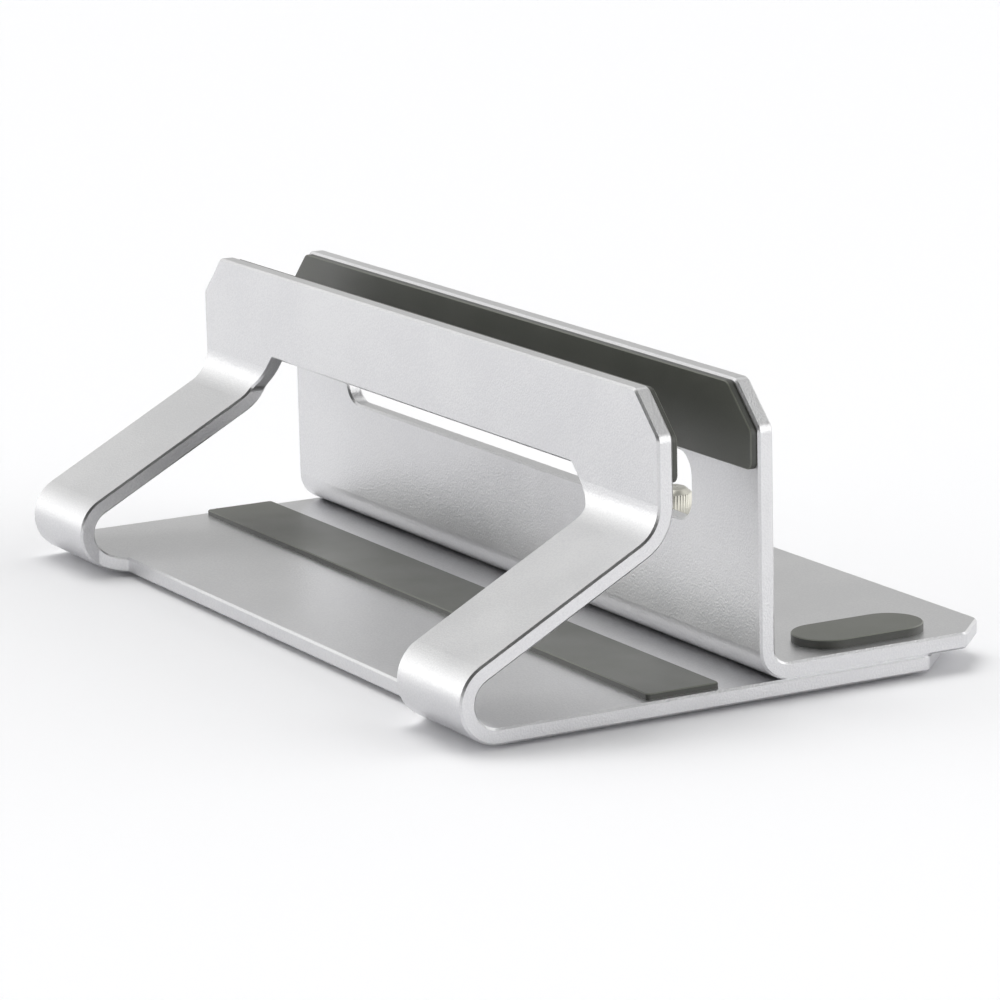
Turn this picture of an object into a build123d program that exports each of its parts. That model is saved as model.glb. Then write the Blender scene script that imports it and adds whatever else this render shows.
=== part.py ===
from build123d import *
import os
from math import cos, radians, sin, tan

# Vertical laptop stand: a front bracket folded from one sheet, a rear bracket that slides on it,
# a thumb screw that clamps the two, and silicone pads where a laptop or the desk touches.
# Millimetres. +X runs along the stand, +Y to the rear, +Z up. The origin is the middle of the
# stand's footprint, on the desk.

# Both sheets: aluminium, folded, with cut corners and bevelled edges
stand_length = 200.0
sheet = 3.4
corner_cut = 8.6
corner_round = 2.3
edge_bevel = 0.45

# Front bracket: base plate, two legs and front panel
panel_setback = 44.4
panel_height = 63.7
leg_width = 26.0
leg_rise = 28.0
front_bend_radius = 5.0
panel_bend_radius = 8.0
panel_beam = 19.1
opening_corner = 7.8
opening_round = 1.2
opening_crease_round = 2.0
notch_land = 0.6
notch_corner = 4.6
notch_round = 1.0

# Rear bracket: wall with a long slot, and foot plate
wall_gap = 19.3
wall_height = 59.6
wall_bend_radius = 3.0
foot_length = 57.3
foot_overhang = 8.9
wall_slot_length = 148.8
wall_slot_height = 13.9
wall_slot_round = 4.9
wall_beam = 18.0
travel_forward = 9.0
travel_back = 9.0

# Silicone pads
wall_pad_thickness = 1.4
wall_pad_end_inset = 0.7
wall_pad_top_inset = 0.5
wall_pad_rise = 1.1
wall_pad_round = 1.6
base_pad_setback = 42.2
base_pad_depth = 16.4
base_pad_thickness = 1.2
base_pad_end_inset = 1.8
base_pad_round = 0.8
foot_pad_length = 29.0
foot_pad_width = 14.2
foot_pad_thickness = 1.8
foot_pad_end_inset = 3.4
foot_pad_setback = 13.4
desk_pad_length = 34.0
desk_pad_width = 9.0
desk_pad_thickness = 1.0
desk_pad_side_inset = 7.0
desk_pad_edge_inset = 12.0
pad_edge_break = 0.2

# Thumb screw, washer and pressed-in nut
screw_edge_distance = 8.5
screw_radius = 2.0
thread_clearance = 0.05
slot_clearance = 0.35
head_radius = 4.8
head_height = 10.5
head_chamfer = 1.2
knurl_depth = 0.25
knurl_ribs = 40
collar_radius = 4.0
collar_height = 1.4
screw_tip_recess = 0.5
screw_tip_chamfer = 0.4
washer_radius = 5.6
washer_thickness = 0.8
washer_clearance = 0.2
nut_across_flats = 7.0
nut_height = 2.4

# Planes and levels that the pieces share
overall_depth = panel_setback + sheet + wall_gap + foot_length
front_y = -overall_depth / 2
panel_front_y = front_y + panel_setback
panel_back_y = panel_front_y + sheet
wall_front_y = panel_back_y + wall_gap
wall_back_y = wall_front_y + sheet
foot_rear_y = wall_front_y + foot_length
base_rear_y = foot_rear_y - foot_overhang
screw_y = base_rear_y - screw_edge_distance
end_x = stand_length / 2
leg_inner_x = end_x - leg_width
base_bottom_z = desk_pad_thickness
base_top_z = base_bottom_z + sheet
foot_top_z = base_top_z + sheet
panel_top_z = base_bottom_z + panel_height
opening_top_z = panel_top_z - panel_beam
wall_top_z = base_top_z + wall_height
wall_slot_top_z = wall_top_z - wall_beam
wall_slot_z = wall_slot_top_z - wall_slot_height / 2
bend_outer_radius = front_bend_radius + sheet
notch_y = front_y + bend_outer_radius + notch_land
overcut = 1.0


def folded_sheet(side_line):
    """A sheet as long as the stand: one side follows the line, the other lies to its right."""
    with BuildPart() as folded:
        with BuildSketch(Plane.YZ):
            with BuildLine():
                add(side_line)
                offset(side_line, amount=sheet, side=Side.RIGHT)
            make_face()
        extrude(amount=end_x, both=True)
    return folded.part


def clip_corners(part, through, outward):
    """Cuts the two corners of a sheet's free edge at 45 degrees and rounds the ends of each cut."""
    corners = part.edges().filter_by(through).group_by(outward)[-1]
    reach = corners[0].center().dot(outward.direction)
    part = chamfer(corners, corner_cut)
    cut_ends = [
        edge
        for edge in part.edges().filter_by(through)
        if edge.center().dot(outward.direction) > reach - corner_cut * 1.01
    ]
    return fillet(cut_ends, corner_round)


def is_rim(face, side_line):
    """A rim face reaches from the sheet's one side, which follows the line, to its other side."""
    depths = [side_line.distance_to(Vertex(corner.Y, corner.Z, 0)) for corner in face.vertices()]
    return min(depths) < sheet / 2 < max(depths)


def bevel_edges(part, side_line):
    """Bevels every edge where a wide side of the sheet meets its rim."""
    rims = [face for face in part.faces() if is_rim(face, side_line)]
    rim_edges = [edge for face in rims for edge in face.edges()]
    single = [edge for edge in rim_edges if sum(edge.is_same(other) for other in rim_edges) == 1]
    return chamfer(single, edge_bevel)


def opening_cutter():
    """The opening between the legs, from the panel's lower edge round to the base plate's edge."""
    split_z = base_top_z + front_bend_radius
    with BuildPart() as cutter:
        with BuildSketch(Plane.XZ.offset(-panel_back_y - overcut)) as front_view:
            with BuildLine():
                Polyline(
                    (-leg_inner_x, split_z),
                    (-leg_inner_x, opening_top_z - opening_corner),
                    (opening_corner - leg_inner_x, opening_top_z),
                    (leg_inner_x - opening_corner, opening_top_z),
                    (leg_inner_x, opening_top_z - opening_corner),
                    (leg_inner_x, split_z),
                    close=True,
                )
            make_face()
            fillet(front_view.vertices().group_by(Axis.Y)[-2], opening_crease_round)
            fillet(front_view.vertices().group_by(Axis.Y)[-1], opening_round)
        extrude(amount=panel_back_y - front_y + 2 * overcut)
        with BuildSketch(Plane.XY.offset(base_bottom_z - overcut)) as notch:
            with BuildLine():
                Polyline(
                    (-leg_inner_x, front_y - overcut),
                    (-leg_inner_x, notch_y - notch_corner),
                    (notch_corner - leg_inner_x, notch_y),
                    (leg_inner_x - notch_corner, notch_y),
                    (leg_inner_x, notch_y - notch_corner),
                    (leg_inner_x, front_y - overcut),
                    close=True,
                )
            make_face()
            fillet(notch.vertices().group_by(Axis.Y)[-2], notch_round)
            fillet(notch.vertices().group_by(Axis.Y)[-1], notch_round)
        extrude(amount=split_z - base_bottom_z + overcut)
    return cutter.part


def nut_prism(extra=0.0):
    """The pressed-in nut's six-sided outline, flush with the base plate's underside."""
    with BuildPart() as prism:
        with BuildSketch(Plane.XY.offset(base_bottom_z - extra)):
            with Locations((0, screw_y)):
                RegularPolygon(nut_across_flats / 2, 6, major_radius=False)
        extrude(amount=nut_height + extra)
    return prism.part


def screw_bore(radius, low_z, high_z):
    """A round bore on the screw's axis."""
    return Pos(0, screw_y, (low_z + high_z) / 2) * Cylinder(radius, high_z - low_z)


def make_front_bracket():
    """Base plate, legs and panel, folded from one sheet."""
    bend_y = front_y + bend_outer_radius
    base_fold_y = bend_y - bend_outer_radius / tan(radians(leg_rise / 2))
    panel_fold_z = base_bottom_z + (panel_front_y - base_fold_y) * tan(radians(leg_rise))
    side_line = FilletPolyline(
        (base_rear_y, base_bottom_z),
        (base_fold_y, base_bottom_z),
        (panel_front_y, panel_fold_z),
        (panel_front_y, panel_top_z),
        radius=[bend_outer_radius, panel_bend_radius],
    )
    bracket = folded_sheet(side_line)
    bracket = clip_corners(bracket, Axis.Y, Axis.Z)
    bracket = clip_corners(bracket, Axis.Z, Axis.Y)
    bracket = bevel_edges(bracket - opening_cutter(), side_line)
    bracket -= nut_prism(overcut)
    bracket -= screw_bore(screw_radius + slot_clearance, base_bottom_z, base_top_z + overcut)
    return bracket


def make_rear_bracket():
    """Slotted wall and foot plate, folded from one sheet."""
    side_line = FilletPolyline(
        (foot_rear_y, base_top_z),
        (wall_front_y, base_top_z),
        (wall_front_y, wall_top_z),
        radius=wall_bend_radius + sheet,
    )
    bracket = folded_sheet(side_line)
    bracket = clip_corners(bracket, Axis.Y, Axis.Z)
    bracket = clip_corners(bracket, Axis.Z, Axis.Y)
    with BuildPart() as wall_slot:
        with BuildSketch(Plane.XZ.offset(-wall_back_y - overcut)):
            with Locations((0, wall_slot_z)):
                RectangleRounded(wall_slot_length, wall_slot_height, wall_slot_round)
        extrude(amount=sheet + 2 * overcut)
    bracket = bevel_edges(bracket - wall_slot.part, side_line)
    with BuildPart() as travel_slot:
        with BuildSketch(Plane.XY.offset(base_top_z - overcut)):
            with Locations((0, screw_y + (travel_forward - travel_back) / 2)):
                SlotCenterToCenter(
                    travel_forward + travel_back,
                    2 * (screw_radius + slot_clearance),
                    rotation=90,
                )
        extrude(amount=sheet + 2 * overcut)
    return bracket - travel_slot.part


def wall_pad(face_y, low_z, high_z, toward):
    """A pad on a wall, with the wall's clipped upper corners and rounded lower ones."""
    half = end_x - wall_pad_end_inset
    with BuildPart() as pad:
        with BuildSketch(Plane.XZ.offset(-face_y)) as outline:
            with BuildLine():
                Polyline(
                    (-half, low_z),
                    (-half, high_z - corner_cut),
                    (corner_cut - half, high_z),
                    (half - corner_cut, high_z),
                    (half, high_z - corner_cut),
                    (half, low_z),
                    close=True,
                )
            make_face()
            fillet(outline.vertices().group_by(Axis.Y)[0], wall_pad_round)
            fillet(outline.vertices().group_by(Axis.Y)[-2], corner_round)
            fillet(outline.vertices().group_by(Axis.Y)[-1], corner_round)
        extrude(amount=-toward * wall_pad_thickness)
        chamfer(pad.faces().sort_by(Axis.Y)[-1 if toward > 0 else 0].edges(), pad_edge_break)
    return pad.part


def make_front_wall_pad():
    """Pad on the panel's back."""
    low_z = opening_top_z + wall_pad_rise
    return wall_pad(panel_back_y, low_z, panel_top_z - wall_pad_top_inset, 1)


def make_rear_wall_pad():
    """Pad on the rear wall's front."""
    low_z = wall_slot_top_z + wall_pad_rise
    return wall_pad(wall_front_y, low_z, wall_top_z - wall_pad_top_inset, -1)


def make_base_pad():
    """Strip on the base plate that the laptop's edge stands on."""
    with BuildPart() as pad:
        with BuildSketch(Plane.XY.offset(base_top_z)):
            with Locations((0, front_y + base_pad_setback + base_pad_depth / 2)):
                RectangleRounded(stand_length - 2 * base_pad_end_inset, base_pad_depth, base_pad_round)
        extrude(amount=base_pad_thickness)
        chamfer(pad.faces().sort_by(Axis.Z)[-1].edges(), pad_edge_break)
    return pad.part


def make_foot_pad(side):
    """Round-ended pad on the foot plate, near one end of the stand."""
    x = side * (end_x - foot_pad_end_inset - foot_pad_width / 2)
    y = foot_rear_y - foot_pad_setback - foot_pad_length / 2
    with BuildPart() as pad:
        with BuildSketch(Plane.XY.offset(foot_top_z)):
            with Locations((x, y)):
                SlotOverall(foot_pad_length, foot_pad_width, rotation=90)
        extrude(amount=foot_pad_thickness)
        chamfer(pad.faces().sort_by(Axis.Z)[-1].edges(), pad_edge_break)
    return pad.part


def make_desk_pad(side, y):
    """Round-ended pad under the base plate."""
    x = side * (end_x - desk_pad_side_inset - desk_pad_length / 2)
    with BuildPart() as pad:
        with BuildSketch(Plane.XY):
            with Locations((x, y)):
                SlotOverall(desk_pad_length, desk_pad_width)
        extrude(amount=desk_pad_thickness)
        chamfer(pad.faces().sort_by(Axis.Z)[0].edges(), pad_edge_break)
    return pad.part


def make_thumb_screw():
    """Knurled head, plain collar and threaded shank, in one turned piece."""
    collar_z = foot_top_z + washer_thickness
    head_z = collar_z + collar_height
    top_z = head_z + head_height
    tip_z = base_bottom_z + screw_tip_recess
    step = 180 / knurl_ribs
    ridge = head_radius
    groove = head_radius - knurl_depth
    rim = []
    for index in range(knurl_ribs):
        turn = radians(2 * index * step)
        rim.append((ridge * cos(turn), ridge * sin(turn)))
        turn = radians((2 * index + 1) * step)
        rim.append((groove * cos(turn), groove * sin(turn)))
    with BuildPart() as turned:
        with BuildSketch(Plane.XZ):
            with BuildLine():
                Polyline(
                    (0, tip_z),
                    (screw_radius - screw_tip_chamfer, tip_z),
                    (screw_radius, tip_z + screw_tip_chamfer),
                    (screw_radius, collar_z),
                    (collar_radius, collar_z),
                    (collar_radius, head_z),
                    (head_radius - head_chamfer / 2, head_z),
                    (head_radius, head_z + head_chamfer / 2),
                    (head_radius, top_z - head_chamfer),
                    (head_radius - head_chamfer, top_z),
                    (0, top_z),
                    close=True,
                )
            make_face()
        revolve(axis=Axis.Z)
    with BuildPart() as knurl:
        with BuildSketch(Plane.XY.offset(head_z)):
            Polygon(*rim, align=None)
        extrude(amount=head_height)
    with BuildPart() as lower:
        with BuildSketch(Plane.XY.offset(tip_z)):
            Circle(collar_radius + overcut)
        extrude(amount=head_z - tip_z)
    screw = (turned.part & knurl.part) + (turned.part & lower.part)
    return Pos(0, screw_y, 0) * screw


def make_washer():
    """Flat washer between the screw's collar and the foot plate."""
    bore = screw_bore(screw_radius + washer_clearance, foot_top_z, foot_top_z + washer_thickness)
    return screw_bore(washer_radius, foot_top_z, foot_top_z + washer_thickness) - bore


def make_clamp_nut():
    """Nut pressed into the base plate, flush with its underside."""
    bore = screw_bore(screw_radius + thread_clearance, base_bottom_z - overcut, base_top_z)
    return nut_prism() - bore


front_desk_pad_y = front_y + desk_pad_edge_inset + desk_pad_width / 2
rear_desk_pad_y = base_rear_y - desk_pad_edge_inset - desk_pad_width / 2
nodes = {
    "front_bracket": make_front_bracket(),
    "rear_bracket": make_rear_bracket(),
    "front_wall_pad": make_front_wall_pad(),
    "rear_wall_pad": make_rear_wall_pad(),
    "base_pad": make_base_pad(),
    "foot_pad_left": make_foot_pad(-1),
    "foot_pad_right": make_foot_pad(1),
    "desk_pad_front_left": make_desk_pad(-1, front_desk_pad_y),
    "desk_pad_front_right": make_desk_pad(1, front_desk_pad_y),
    "desk_pad_rear_left": make_desk_pad(-1, rear_desk_pad_y),
    "desk_pad_rear_right": make_desk_pad(1, rear_desk_pad_y),
    "thumb_screw": make_thumb_screw(),
    "washer": make_washer(),
    "clamp_nut": make_clamp_nut(),
}
os.makedirs("parts", exist_ok=True)
for name, shape in nodes.items():
    export_step(shape, f"parts/{name}.step")
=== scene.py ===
"""Vertical laptop stand: finishes, fine detail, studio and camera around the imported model.

Sizes are metres in the stand's own frame: +X along the stand, +Y from the front panel to the rear
wall, +Z up. The origin is the middle of the footprint, on the desk.
"""

import logging
import math
from dataclasses import dataclass, replace
from enum import Enum

import bpy
from mathutils import Matrix, Vector


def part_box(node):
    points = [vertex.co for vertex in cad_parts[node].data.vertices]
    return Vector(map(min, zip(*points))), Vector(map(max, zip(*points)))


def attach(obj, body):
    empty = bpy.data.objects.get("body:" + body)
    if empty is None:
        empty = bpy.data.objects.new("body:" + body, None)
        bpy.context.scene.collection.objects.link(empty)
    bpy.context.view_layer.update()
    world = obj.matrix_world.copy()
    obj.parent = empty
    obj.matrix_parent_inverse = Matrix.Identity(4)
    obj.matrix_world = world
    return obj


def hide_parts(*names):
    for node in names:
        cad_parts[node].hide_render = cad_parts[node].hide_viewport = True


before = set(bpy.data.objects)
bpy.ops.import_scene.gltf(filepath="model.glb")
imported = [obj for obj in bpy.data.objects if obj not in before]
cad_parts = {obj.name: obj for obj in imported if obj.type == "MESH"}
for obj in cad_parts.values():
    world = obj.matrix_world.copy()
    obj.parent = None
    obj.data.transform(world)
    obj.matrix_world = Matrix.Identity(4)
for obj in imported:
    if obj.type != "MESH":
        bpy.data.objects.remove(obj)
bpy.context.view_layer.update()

LOG = logging.getLogger("laptop_stand")
MM = 0.001

# How many finer layers the two patterns of the grain have.
PIT_DETAIL = 1.0
CLOUD_DETAIL = 2.0
# The stretch of each pattern's values that is spread over its whole effect.
FLECK_ENDS = (0.35, 0.65)
DRIFT_ENDS = (0.3, 0.7)
# Cosines of the angle to a pad's face axis: from a side with painted shade to the edge break with a
# painted highlight, then to the face.
PAINTED_SHADE_ENDS = (0.35, 0.60)
FACE_ENDS = (0.82, 0.96)

Colour = tuple[float, float, float]
Point = tuple[float, float, float]


class Slot(Enum):
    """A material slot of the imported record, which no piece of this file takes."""

    STEEL = "plated_steel"


class Body(Enum):
    """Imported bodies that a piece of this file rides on."""

    SCREW = "clamp_screw"


class NodeGraph:
    """Adds and joins the nodes of one shader or geometry tree."""

    def __init__(self, tree: bpy.types.NodeTree) -> None:
        """Takes over a tree.

        Args:
            tree: The tree that receives the nodes. It is emptied first.
        """
        self.tree = tree
        tree.nodes.clear()

    def add(self, kind: str, **settings: object) -> bpy.types.Node:
        """Adds a node.

        Args:
            kind: The node's type name.
            **settings: Properties of the node, set by name.

        Returns:
            The new node.
        """
        node = self.tree.nodes.new(kind)
        for name, value in settings.items():
            setattr(node, name, value)
        return node

    def feed(self, node: bpy.types.Node, **inputs: object) -> bpy.types.Node:
        """Gives values or links to a node's inputs.

        Args:
            node: The node to feed.
            **inputs: Socket names in lower case with underscores, each with a value or an output.

        Returns:
            The same node.
        """
        for name, value in inputs.items():
            socket = self.find(node.inputs, name)
            if isinstance(value, bpy.types.NodeSocket):
                self.tree.links.new(value, socket)
            else:
                socket.default_value = value
        return node

    def find(self, sockets: bpy.types.bpy_prop_collection, name: str) -> bpy.types.NodeSocket:
        """Finds a socket in use by its name in lower case.

        Args:
            sockets: A node's inputs or outputs.
            name: The socket's name, in lower case and with underscores for spaces.

        Returns:
            The first enabled socket of that name.
        """
        for socket in sockets:
            if socket.enabled and socket.name.lower().replace(" ", "_") == name:
                return socket
        raise KeyError(name)

    def out(self, node: bpy.types.Node, name: str) -> bpy.types.NodeSocket:
        """Returns a node's output of that name."""
        return self.find(node.outputs, name)

    def noise(self, vector: bpy.types.NodeSocket, scale: object, detail: float) -> bpy.types.NodeSocket:
        """Adds a noise pattern.

        Args:
            vector: Where the pattern is read.
            scale: Cells in a metre, as a number or a link.
            detail: How many finer layers are added.

        Returns:
            The pattern's value, from 0 to 1.
        """
        node = self.feed(self.add("ShaderNodeTexNoise"), vector=vector, scale=scale, detail=detail)
        return self.out(node, "fac")

    def blend(self, kind: str, operation: str, *values: object) -> bpy.types.NodeSocket:
        """Adds a math node.

        Args:
            kind: Math or VectorMath.
            operation: What it works out.
            *values: Its operands in order, as values or links.

        Returns:
            The result: the node's first enabled output.
        """
        node = self.add("ShaderNode" + kind, operation=operation)
        for place, value in zip(node.inputs, values):
            if isinstance(value, bpy.types.NodeSocket):
                self.tree.links.new(value, place)
            else:
                place.default_value = value
        return next(output for output in node.outputs if output.enabled)

    def spread(
        self, value: bpy.types.NodeSocket, low: float, high: float, start: object, end: object
    ) -> bpy.types.NodeSocket:
        """Maps a value from one range to another.

        Args:
            value: The value to map.
            low: The value that becomes start.
            high: The value that becomes end.
            start: The lower result, as a number or a link.
            end: The upper result, as a number or a link.

        Returns:
            The mapped value.
        """
        node = self.add("ShaderNodeMapRange")
        self.feed(node, value=value, from_min=low, from_max=high, to_min=start, to_max=end)
        return self.out(node, "result")


def socket(tree: bpy.types.NodeTree, name: str, kind: str, direction: str) -> None:
    """Adds a named socket to a node group.

    Args:
        tree: The group.
        name: The socket's name.
        kind: The short type name, such as Float.
        direction: INPUT or OUTPUT.
    """
    tree.interface.new_socket(name, in_out=direction, socket_type="NodeSocket" + kind)


class SurfaceGroups:
    """Shader groups that several finishes share, each built once."""

    @staticmethod
    def grain() -> bpy.types.NodeTree:
        """Builds or finds the group for a fine pitted grain.

        Returns:
            A group with the inputs Pits and Cloud, in cells a metre, and the outputs Height and Shade.
        """
        name = "fine_grain"
        if name in bpy.data.node_groups:
            return bpy.data.node_groups[name]
        tree = bpy.data.node_groups.new(name, "ShaderNodeTree")
        graph = NodeGraph(tree)
        socket(tree, "Pits", "Float", "INPUT")
        socket(tree, "Cloud", "Float", "INPUT")
        socket(tree, "Height", "Float", "OUTPUT")
        socket(tree, "Shade", "Float", "OUTPUT")
        given = graph.add("NodeGroupInput")
        place = graph.out(graph.add("ShaderNodeTexCoord"), "object")
        pits = graph.noise(place, graph.out(given, "pits"), PIT_DETAIL)
        cloud = graph.noise(place, graph.out(given, "cloud"), CLOUD_DETAIL)
        graph.feed(graph.add("NodeGroupOutput"), height=pits, shade=cloud)
        return tree

    @staticmethod
    def cut_edges() -> bpy.types.NodeTree:
        """Builds or finds the group that paints shade on a pad's sides and a highlight on its edge
        break.

        Returns:
            A group with the inputs Axis, Side and the edge's highlight factor, and the output Shade: a
            colour factor that is 1 on the face, lower for the painted shade on the sides and higher for
            the painted highlight on the edge break.
        """
        name = "cut_edges"
        if name in bpy.data.node_groups:
            return bpy.data.node_groups[name]
        tree = bpy.data.node_groups.new(name, "ShaderNodeTree")
        graph = NodeGraph(tree)
        socket(tree, "Axis", "Vector", "INPUT")
        socket(tree, "Side", "Float", "INPUT")
        socket(tree, "Rubbed", "Float", "INPUT")
        socket(tree, "Shade", "Float", "OUTPUT")
        given = graph.add("NodeGroupInput")
        normal = graph.out(graph.add("ShaderNodeTexCoord"), "normal")
        facing = graph.blend("VectorMath", "DOT_PRODUCT", normal, graph.out(given, "axis"))
        facing = graph.blend("Math", "ABSOLUTE", facing)
        side, rubbed = graph.out(given, "side"), graph.out(given, "rubbed")
        # Painted shade on the sides, rising to a painted highlight on the edge break.
        edge = graph.spread(facing, *PAINTED_SHADE_ENDS, side, rubbed)
        graph.feed(graph.add("NodeGroupOutput"), shade=graph.spread(facing, *FACE_ENDS, edge, 1.0))
        return tree

    @staticmethod
    def place(graph: NodeGraph, group: bpy.types.NodeTree, **values: object) -> bpy.types.Node:
        """Places a group in a material.

        Args:
            graph: The material's graph.
            group: The group.
            **values: Its inputs by their names in lower case.

        Returns:
            The group node.
        """
        return graph.feed(graph.add("ShaderNodeGroup", node_tree=group), **values)


class FaceAxis(Enum):
    """The way a pad's broad face looks."""

    UPWARD = (0.0, 0.0, 1.0)
    FORWARD = (0.0, 1.0, 0.0)


@dataclass(frozen=True)
class PaintedPadLight:
    """Painted shade on a pad's sides and a painted highlight on its edge break, as factors of its
    face's colour.
    """

    axis: FaceAxis
    # Colour factor of the painted shade on the pad's sides.
    side: float = 0.5
    # Colour factor of the painted highlight on the pad's edge break.
    rubbed: float = 1.7


@dataclass(frozen=True)
class Finish:
    """A surface with a fine grain: its colour, gloss and relief.

    The light and dark colours and the smooth and rough values are the ends of a slow drift
    over the surface. Speckle is how far each pit of the grain moves the colour along that drift.
    """

    name: str
    light: Colour
    dark: Colour
    metallic: float
    smooth: float
    rough: float
    pits_per_metre: float
    clouds_per_metre: float
    relief: float
    relief_strength: float
    speckle: float = 0.0
    specular: float = 0.5
    pad_light: PaintedPadLight | None = None

    def material(self) -> bpy.types.Material:
        """Builds or finds the material of this finish.

        Returns:
            The material.
        """
        if self.name in bpy.data.materials:
            return bpy.data.materials[self.name]
        made = bpy.data.materials.new(self.name)
        made.use_nodes = True
        graph = NodeGraph(made.node_tree)
        grain = SurfaceGroups.place(
            graph, SurfaceGroups.grain(), pits=self.pits_per_metre, cloud=self.clouds_per_metre
        )
        height, shade = graph.out(grain, "height"), graph.out(grain, "shade")
        mix = graph.add("ShaderNodeMix", data_type="RGBA")
        fleck = graph.spread(height, *FLECK_ENDS, -self.speckle, self.speckle)
        drift = graph.blend("Math", "ADD", graph.spread(shade, *DRIFT_ENDS, 0.0, 1.0), fleck)
        graph.feed(mix, factor=drift, a=(*self.dark, 1.0), b=(*self.light, 1.0))
        colour = graph.out(mix, "result")
        # Paints shade on a pad's sides and a highlight on its edge break.
        if self.pad_light:
            pad_shade_and_highlight = SurfaceGroups.place(
                graph,
                SurfaceGroups.cut_edges(),
                axis=self.pad_light.axis.value,
                side=self.pad_light.side,
                rubbed=self.pad_light.rubbed,
            )
            scaled = graph.add("ShaderNodeVectorMath", operation="SCALE")
            graph.feed(scaled, vector=colour, scale=graph.out(pad_shade_and_highlight, "shade"))
            colour = graph.out(scaled, "vector")
        bump = graph.add("ShaderNodeBump")
        graph.feed(bump, strength=self.relief_strength, distance=self.relief, height=height)
        shader = graph.add("ShaderNodeBsdfPrincipled")
        graph.feed(
            shader,
            base_color=colour,
            metallic=self.metallic,
            roughness=graph.spread(shade, *DRIFT_ENDS, self.smooth, self.rough),
            specular_ior_level=self.specular,
            normal=graph.out(bump, "normal"),
        )
        graph.feed(graph.add("ShaderNodeOutputMaterial"), surface=graph.out(shader, "bsdf"))
        return made


BLASTED_ALUMINIUM = Finish(
    name="blasted_aluminium",
    light=(0.68, 0.68, 0.69),
    dark=(0.635, 0.635, 0.65),
    metallic=1.0,
    smooth=0.31,
    rough=0.36,
    pits_per_metre=2400.0,
    clouds_per_metre=45.0,
    relief=0.06 * MM,
    relief_strength=0.9,
    speckle=0.6,
)
FLAT_SILICONE = Finish(
    name="flat_silicone",
    light=(0.084, 0.088, 0.074),
    dark=(0.072, 0.076, 0.063),
    metallic=0.0,
    smooth=0.34,
    rough=0.42,
    pits_per_metre=2600.0,
    clouds_per_metre=70.0,
    relief=0.03 * MM,
    relief_strength=0.3,
    speckle=0.3,
    specular=0.65,
    # Painted shade on the pad's sides and a painted highlight on its edge break, for a pad that lies
    # flat.
    pad_light=PaintedPadLight(FaceAxis.UPWARD),
)
UPRIGHT_SILICONE = replace(
    FLAT_SILICONE,
    name="upright_silicone",
    # The same painted shade and highlight for a pad that stands upright and faces forward.
    pad_light=PaintedPadLight(FaceAxis.FORWARD),
)
NICKEL_STEEL = Finish(
    name="nickel_steel",
    light=(0.54, 0.53, 0.48),
    dark=(0.48, 0.47, 0.42),
    metallic=1.0,
    smooth=0.27,
    rough=0.33,
    pits_per_metre=5200.0,
    clouds_per_metre=400.0,
    relief=0.008 * MM,
    relief_strength=0.3,
    speckle=0.3,
)


def dress(node: str, finish: Finish) -> None:
    """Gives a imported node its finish.

    Args:
        node: The node's name.
        finish: The finish that it gets.
    """
    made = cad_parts[node]
    made.data.materials.clear()
    made.data.materials.append(finish.material())
    LOG.info("%s: %s", node, finish.name)


@dataclass
class PaddedSheet:
    """A folded sheet with its wall pad and the pads that lie flat on it or under it."""

    bracket: str
    wall_pad: str
    flat_pads: tuple[str, ...]

    def build(self) -> None:
        """Dresses the sheet and its pads."""
        dress(self.bracket, BLASTED_ALUMINIUM)
        dress(self.wall_pad, UPRIGHT_SILICONE)
        for pad in self.flat_pads:
            dress(pad, FLAT_SILICONE)


@dataclass
class FrontStand(PaddedSheet):
    """Front bracket with the pads and the nut that it carries."""

    bracket: str = "front_bracket"
    wall_pad: str = "front_wall_pad"
    flat_pads: tuple[str, ...] = (
        "base_pad",
        "desk_pad_front_left",
        "desk_pad_front_right",
        "desk_pad_rear_left",
        "desk_pad_rear_right",
    )
    nut: str = "clamp_nut"

    def build(self) -> None:
        """Dresses the bracket, its pads and the nut."""
        super().build()
        dress(self.nut, NICKEL_STEEL)


@dataclass
class RearStand(PaddedSheet):
    """Rear bracket with its pads."""

    bracket: str = "rear_bracket"
    wall_pad: str = "rear_wall_pad"
    flat_pads: tuple[str, ...] = ("foot_pad_left", "foot_pad_right")


def turned_mesh(
    name: str, profile: list[tuple[float, float]], steps: int, sharp_degrees: float
) -> bpy.types.Mesh:
    """Turns a profile round the Z axis.

    Args:
        name: The mesh's name.
        profile: Radius and level of each point, from the lowest centre to the highest centre.
        steps: How many sides the turned body has.
        sharp_degrees: The angle between two faces from which their edge is shown sharp.

    Returns:
        The closed mesh, its faces outward.
    """
    ring_points = profile[1:-1]
    vertices = [(0.0, 0.0, profile[0][1])]
    for radius, level in ring_points:
        for step in range(steps):
            turn = 2 * math.pi * step / steps
            vertices.append((radius * math.cos(turn), radius * math.sin(turn), level))
    vertices.append((0.0, 0.0, profile[-1][1]))
    faces = []
    last = len(vertices) - 1
    top_ring = 1 + steps * (len(ring_points) - 1)
    for step in range(steps):
        beside = (step + 1) % steps
        faces.append((0, 1 + beside, 1 + step))
        faces.append((last, top_ring + step, top_ring + beside))
        for ring in range(len(ring_points) - 1):
            low = 1 + ring * steps
            high = low + steps
            faces.append((low + step, low + beside, high + beside, high + step))
    mesh = bpy.data.meshes.new(name)
    mesh.from_pydata(vertices, [], faces)
    mesh.shade_smooth()
    mesh.set_sharp_from_angle(angle=math.radians(sharp_degrees))
    return mesh


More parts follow.
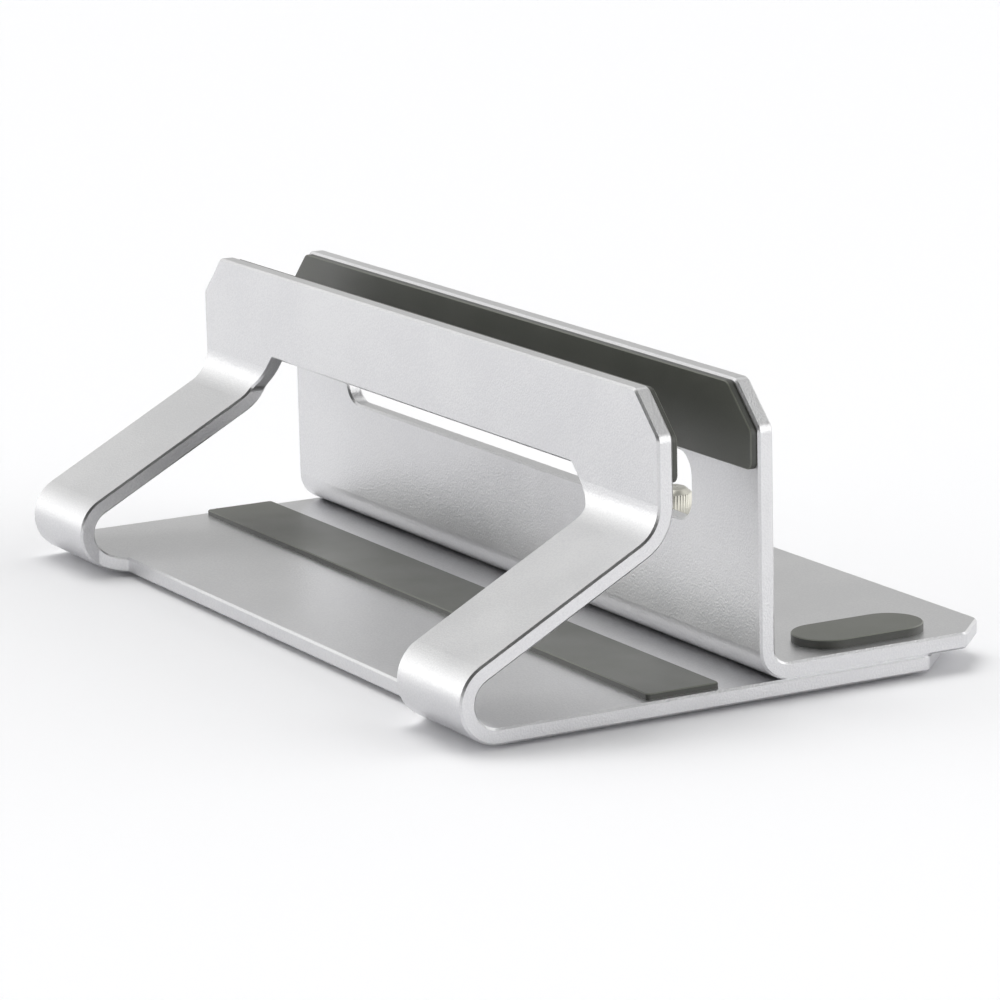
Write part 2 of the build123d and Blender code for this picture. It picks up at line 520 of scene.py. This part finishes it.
class RepeatTree:
    """The node tree that adds a knurl's ribs and a thread to a turned body."""

    RIB_SIDES = 12
    WELD_DISTANCE = 0.001 * MM
    STEPS_PER_THREAD_TURN = 24
    RIDGE_SIDES = 6
    NUMBERS: dict[str, str] = {
        "Rib Count": "Int",
        "Rib Ring": "Float",
        "Rib Radius": "Float",
        "Rib Length": "Float",
        "Rib Level": "Float",
        "Thread Turns": "Float",
        "Thread Ring": "Float",
        "Thread Ridge": "Float",
        "Thread Length": "Float",
        "Thread Level": "Float",
    }

    def __init__(self) -> None:
        """Builds the tree with its named inputs."""
        self.tree = bpy.data.node_groups.new("ribs_and_thread", "GeometryNodeTree")
        socket(self.tree, "Geometry", "Geometry", "INPUT")
        for name, kind in self.NUMBERS.items():
            socket(self.tree, name, kind, "INPUT")
        socket(self.tree, "Centre", "Vector", "INPUT")
        socket(self.tree, "Finish", "Material", "INPUT")
        socket(self.tree, "Geometry", "Geometry", "OUTPUT")
        self.graph = NodeGraph(self.tree)
        self.given = self.graph.add("NodeGroupInput")
        joined = self.graph.add("GeometryNodeJoinGeometry")
        for part in (self.take("geometry"), self.ribs(), self.thread()):
            self.graph.feed(joined, geometry=part)
        placed = self.graph.feed(
            self.graph.add("GeometryNodeTransform"),
            geometry=self.graph.out(joined, "geometry"),
            translation=self.take("centre"),
        )
        real = self.graph.feed(
            self.graph.add("GeometryNodeRealizeInstances"), geometry=self.graph.out(placed, "geometry")
        )
        painted = self.graph.feed(
            self.graph.add("GeometryNodeSetMaterial"),
            geometry=self.graph.out(real, "geometry"),
            material=self.take("finish"),
        )
        self.graph.feed(self.graph.add("NodeGroupOutput"), geometry=self.graph.out(painted, "geometry"))

    def take(self, name: str) -> bpy.types.NodeSocket:
        """Returns one of the tree's own inputs."""
        return self.graph.out(self.given, name)

    def raised(self, piece: bpy.types.NodeSocket, level: bpy.types.NodeSocket) -> bpy.types.NodeSocket:
        """Lifts geometry.

        Args:
            piece: The geometry.
            level: How far it goes up.

        Returns:
            The lifted geometry.
        """
        lift = self.graph.feed(self.graph.add("ShaderNodeCombineXYZ"), z=level)
        moved = self.graph.feed(
            self.graph.add("GeometryNodeTransform"),
            geometry=piece,
            translation=self.graph.out(lift, "vector"),
        )
        return self.graph.out(moved, "geometry")

    def ribs(self) -> bpy.types.NodeSocket:
        """Repeats one pointed rib round the knurl.

        Returns:
            The ribs, centred on their level.
        """
        graph = self.graph
        radius, length = self.take("rib_radius"), self.take("rib_length")
        bar = graph.add("GeometryNodeMeshCylinder", fill_type="NONE")
        graph.feed(bar, vertices=self.RIB_SIDES, radius=radius, depth=length)
        half = graph.blend("Math", "MULTIPLY", length, 0.5)
        point = graph.add("GeometryNodeMeshCone", fill_type="NONE")
        graph.feed(point, vertices=self.RIB_SIDES, radius_top=0.0, radius_bottom=radius, depth=radius)
        upper = self.raised(graph.out(point, "mesh"), half)
        turned = graph.feed(
            graph.add("GeometryNodeTransform"),
            geometry=graph.out(point, "mesh"),
            rotation=(math.pi, 0.0, 0.0),
        )
        lower = self.raised(
            graph.out(turned, "geometry"), graph.blend("Math", "MULTIPLY", half, -1.0)
        )
        rib = graph.add("GeometryNodeJoinGeometry")
        for part in (graph.out(bar, "mesh"), upper, lower):
            graph.feed(rib, geometry=part)
        closed_rib = graph.feed(
            graph.add("GeometryNodeMergeByDistance"),
            geometry=graph.out(rib, "geometry"),
            distance=self.WELD_DISTANCE,
        )
        round_rib = graph.feed(
            graph.add("GeometryNodeSetShadeSmooth"), geometry=graph.out(closed_rib, "geometry")
        )
        ring = graph.add("GeometryNodeMeshCircle")
        graph.feed(ring, vertices=self.take("rib_count"), radius=self.take("rib_ring"))
        every = graph.add("GeometryNodeInstanceOnPoints")
        graph.feed(every, points=graph.out(ring, "mesh"), instance=graph.out(round_rib, "geometry"))
        return self.raised(graph.out(every, "instances"), self.take("rib_level"))

    def thread(self) -> bpy.types.NodeSocket:
        """Winds the thread's ridge round the shank.

        Returns:
            The ridge, from its level upward.
        """
        graph = self.graph
        ring = self.take("thread_ring")
        helix = graph.add("GeometryNodeCurveSpiral")
        graph.feed(
            helix,
            resolution=self.STEPS_PER_THREAD_TURN,
            rotations=self.take("thread_turns"),
            start_radius=ring,
            end_radius=ring,
            height=self.take("thread_length"),
        )
        ridge = graph.add("GeometryNodeCurvePrimitiveCircle")
        graph.feed(ridge, resolution=self.RIDGE_SIDES, radius=self.take("thread_ridge"))
        swept = graph.add("GeometryNodeCurveToMesh")
        graph.feed(swept, curve=graph.out(helix, "curve"), profile_curve=graph.out(ridge, "curve"))
        graph.feed(swept, fill_caps=True)
        return self.raised(graph.out(swept, "mesh"), self.take("thread_level"))

    def apply(self, piece: bpy.types.Object, **values: object) -> None:
        """Runs the tree on a piece and keeps the result as its plain mesh.

        Args:
            piece: The object whose mesh is the turned body.
            **values: The tree's inputs by their names in lower case.
        """
        modifier = piece.modifiers.new("ribs_and_thread", "NODES")
        modifier.node_group = self.tree
        for item in self.tree.interface.items_tree:
            name = item.name.lower().replace(" ", "_")
            if item.in_out == "INPUT" and name in values:
                modifier[item.identifier] = values[name]
        seen = piece.evaluated_get(bpy.context.evaluated_depsgraph_get())
        built = bpy.data.meshes.new_from_object(seen)
        piece.modifiers.clear()
        piece.data = built
        built.name = piece.name


@dataclass
class ThumbScrew:
    """Turned screw with a straight knurl and a thread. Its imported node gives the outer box."""

    node: str = "thumb_screw"
    shank_radius: float = 2.0 * MM
    thread_depth: float = 0.34 * MM
    thread_pitch: float = 0.7 * MM
    tip_chamfer: float = 0.4 * MM
    thread_end: float = 6.3 * MM
    collar_foot: float = 7.1 * MM
    collar_radius: float = 4.0 * MM
    edge: float = 0.15 * MM
    head_foot: float = 8.5 * MM
    foot_chamfer: float = 0.6 * MM
    top_chamfer: float = 1.2 * MM
    knurl_depth: float = 0.25 * MM
    rib_radius: float = 0.5 * MM
    ribs: int = 40
    sides: int = 96
    sharp_degrees: float = 30.0

    def profile(self, tip: float, top: float, crest: float) -> list[tuple[float, float]]:
        """Lays out the turned body without ribs and thread.

        Args:
            tip: The level of the screw's tip.
            top: The level of the head's top.
            crest: The radius over the knurl's ribs.

        Returns:
            Radius and level of each point, from the tip up.
        """
        root = self.shank_radius - self.thread_depth
        groove = crest - self.knurl_depth
        collar, head = tip + self.collar_foot, tip + self.head_foot
        flat = crest - self.top_chamfer
        return [
            (0.0, tip),
            (root - self.tip_chamfer, tip),
            (root, tip + self.tip_chamfer),
            (root, tip + self.thread_end),
            (self.shank_radius, tip + self.thread_end + self.thread_depth),
            (self.shank_radius, collar),
            (self.collar_radius - self.edge, collar),
            (self.collar_radius, collar + self.edge),
            (self.collar_radius, head),
            (groove - self.foot_chamfer / 2, head),
            (groove, head + self.foot_chamfer / 2),
            (groove, top - self.top_chamfer + self.knurl_depth),
            (flat, top - self.edge / 2),
            (flat - self.edge, top),
            (0.0, top),
        ]

    def build(self) -> None:
        """Builds the screw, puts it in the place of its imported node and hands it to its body."""
        low, high = (Vector(corner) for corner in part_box(self.node))
        centre = (low + high) / 2
        crest = (high.x - low.x) / 2
        profile = self.profile(low.z, high.z, crest)
        mesh = turned_mesh("knurled_screw", profile, self.sides, self.sharp_degrees)
        piece = bpy.data.objects.new("knurled_screw", mesh)
        bpy.context.scene.collection.objects.link(piece)
        rib_foot = low.z + self.head_foot + self.foot_chamfer
        rib_top = high.z - self.top_chamfer
        ridge = self.thread_depth
        thread_length = self.thread_end - self.tip_chamfer - 2 * ridge
        RepeatTree().apply(
            piece,
            rib_count=self.ribs,
            rib_ring=crest - self.rib_radius,
            rib_radius=self.rib_radius,
            rib_length=rib_top - rib_foot,
            rib_level=(rib_top + rib_foot) / 2,
            thread_turns=thread_length / self.thread_pitch,
            thread_ring=self.shank_radius - ridge,
            thread_ridge=ridge,
            thread_length=thread_length,
            thread_level=low.z + self.tip_chamfer + ridge,
            centre=(centre.x, centre.y, 0.0),
            finish=NICKEL_STEEL.material(),
        )
        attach(piece, Body.SCREW.value)
        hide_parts(self.node)
        LOG.info("%s: %d faces, %d ribs", piece.name, len(piece.data.polygons), self.ribs)


@dataclass
class Clamp:
    """Thumb screw and its washer."""

    washer: str = "washer"

    def build(self) -> None:
        """Dresses the washer and builds the screw."""
        dress(self.washer, NICKEL_STEEL)
        ThumbScrew().build()


@dataclass(frozen=True)
class SkySide:
    """One of the studio's four sides: how bright it is near the floor, halfway up and overhead."""

    azimuth: float
    low: float
    middle: float
    high: float

    def axis(self) -> Vector:
        """Returns the level direction from the stand to this side."""
        turn = math.radians(self.azimuth)
        return Vector((math.sin(turn), -math.cos(turn), 0.0))


@dataclass(frozen=True)
class SkyPatch:
    """A round patch of the sky with a soft edge, where light is held back or added.

    The ends are cosines of the angle from its middle between which it takes over.
    """

    azimuth: float
    elevation: float
    fade_ends: tuple[float, float]
    keeps: float
    adds: float

    def axis(self) -> Vector:
        """Works out where the patch is.

        Returns:
            The direction from the stand to the patch's middle.
        """
        turn, rise = math.radians(self.azimuth), math.radians(self.elevation)
        flat = math.cos(rise)
        return Vector((math.sin(turn) * flat, -math.cos(turn) * flat, math.sin(rise)))


@dataclass(frozen=True)
class Sky:
    """Soft light from all round, on four sides that blend into each other, with patches over them.

    The ends are sines of the elevation between which one level gives way to the next.
    """

    sides: tuple[SkySide, ...]
    patches: tuple[SkyPatch, ...]
    low_ends: tuple[float, float] = (0.26, 0.46)
    middle_ends: tuple[float, float] = (0.66, 0.86)
    colour: Colour = (1.0, 1.0, 0.985)

    def build(self) -> bpy.types.World:
        """Builds the world.

        Returns:
            The world, ready to be given to the scene.
        """
        world = bpy.data.worlds.new("studio_sky")
        world.use_nodes = True
        graph = NodeGraph(world.node_tree)
        direction = graph.out(graph.add("ShaderNodeTexCoord"), "generated")
        height = graph.out(graph.feed(graph.add("ShaderNodeSeparateXYZ"), vector=direction), "z")
        level = graph.blend("VectorMath", "MULTIPLY", direction, (1.0, 1.0, 0.0))
        level = graph.blend("VectorMath", "NORMALIZE", level)
        total = None
        for side in self.sides:
            facing = graph.blend("VectorMath", "DOT_PRODUCT", level, tuple(side.axis()))
            facing = graph.blend("Math", "MAXIMUM", facing, 0.0)
            share = graph.blend("Math", "MULTIPLY", facing, facing)
            bright = graph.spread(height, *self.low_ends, side.low, side.middle)
            bright = graph.spread(height, *self.middle_ends, bright, side.high)
            lit = graph.blend("Math", "MULTIPLY", share, bright)
            total = lit if total is None else graph.blend("Math", "ADD", total, lit)
        for patch in self.patches:
            near = graph.blend("VectorMath", "DOT_PRODUCT", direction, tuple(patch.axis()))
            kept = graph.spread(near, *patch.fade_ends, 1.0, patch.keeps)
            added = graph.spread(near, *patch.fade_ends, 0.0, patch.adds)
            total = graph.blend("Math", "MULTIPLY_ADD", total, kept, added)
        light = graph.add("ShaderNodeBackground")
        graph.feed(light, color=(*self.colour, 1.0), strength=total)
        graph.feed(graph.add("ShaderNodeOutputWorld"), surface=graph.out(light, "background"))
        return world


@dataclass
class Studio:
    """Pale floor, soft light and the camera."""

    floor_size: float = 12.0
    floor_colour: Colour = (0.965, 0.965, 0.99)
    floor_roughness: float = 0.7
    floor_specular: float = 0.2
    sky: Sky = Sky(
        sides=(
            SkySide(azimuth=61.0, low=1.60, middle=0.30, high=0.03),
            SkySide(azimuth=-29.0, low=2.10, middle=1.64, high=1.20),
            SkySide(azimuth=-119.0, low=0.68, middle=0.48, high=0.90),
            SkySide(azimuth=151.0, low=2.05, middle=2.00, high=0.20),
        ),
        patches=(
            SkyPatch(azimuth=40.0, elevation=48.0, fade_ends=(0.62, 0.80), keeps=0.08, adds=0.0),
            SkyPatch(azimuth=-85.0, elevation=73.0, fade_ends=(0.91, 0.96), keeps=1.0, adds=2.7),
        ),
    )
    camera_place: Point = (0.86007, -0.47182, 0.24333)
    camera_azimuth: float = 61.12
    camera_elevation: float = 12.638
    camera_roll: float = -1.326
    camera_lens: float = 170.24
    camera_sensor: float = 36.0

    def build(self) -> None:
        """Makes the floor, the sky and the camera."""
        bpy.context.scene.view_settings.view_transform = "Standard"
        self.lay_floor()
        bpy.context.scene.world = self.sky.build()
        self.set_camera()
        LOG.info("studio: floor, sky of %d sides and camera", len(self.sky.sides))

    def lay_floor(self) -> None:
        """Lays the floor at the height that the stand rests on."""
        half = self.floor_size / 2
        mesh = bpy.data.meshes.new("studio_floor")
        corners = [(-half, -half, 0), (half, -half, 0), (half, half, 0), (-half, half, 0)]
        mesh.from_pydata(corners, [], [(0, 1, 2, 3)])
        floor = bpy.data.objects.new("studio_floor", mesh)
        bpy.context.scene.collection.objects.link(floor)
        paint = bpy.data.materials.new("pale_floor")
        paint.use_nodes = True
        graph = NodeGraph(paint.node_tree)
        shader = graph.add("ShaderNodeBsdfPrincipled")
        graph.feed(
            shader,
            base_color=(*self.floor_colour, 1.0),
            roughness=self.floor_roughness,
            specular_ior_level=self.floor_specular,
        )
        graph.feed(graph.add("ShaderNodeOutputMaterial"), surface=graph.out(shader, "bsdf"))
        mesh.materials.append(paint)

    def set_camera(self) -> None:
        """Places the camera where the photograph was taken from."""
        lens = bpy.data.cameras.new("photo_camera")
        lens.lens = self.camera_lens
        lens.sensor_width = self.camera_sensor
        camera = bpy.data.objects.new("photo_camera", lens)
        turn = Matrix.Rotation(math.radians(self.camera_azimuth), 3, "Z")
        tilt = Matrix.Rotation(math.radians(90.0 - self.camera_elevation), 3, "X")
        roll = Matrix.Rotation(math.radians(self.camera_roll), 3, "Z")
        camera.rotation_euler = (turn @ tilt @ roll).to_euler()
        camera.location = self.camera_place
        bpy.context.scene.collection.objects.link(camera)
        bpy.context.scene.camera = camera


def main() -> None:
    """Builds the stand's sub-assemblies and the studio."""
    logging.basicConfig(level=logging.INFO)
    Studio().build()
    FrontStand().build()
    RearStand().build()
    Clamp().build()


if __name__ == "__main__":
    main()
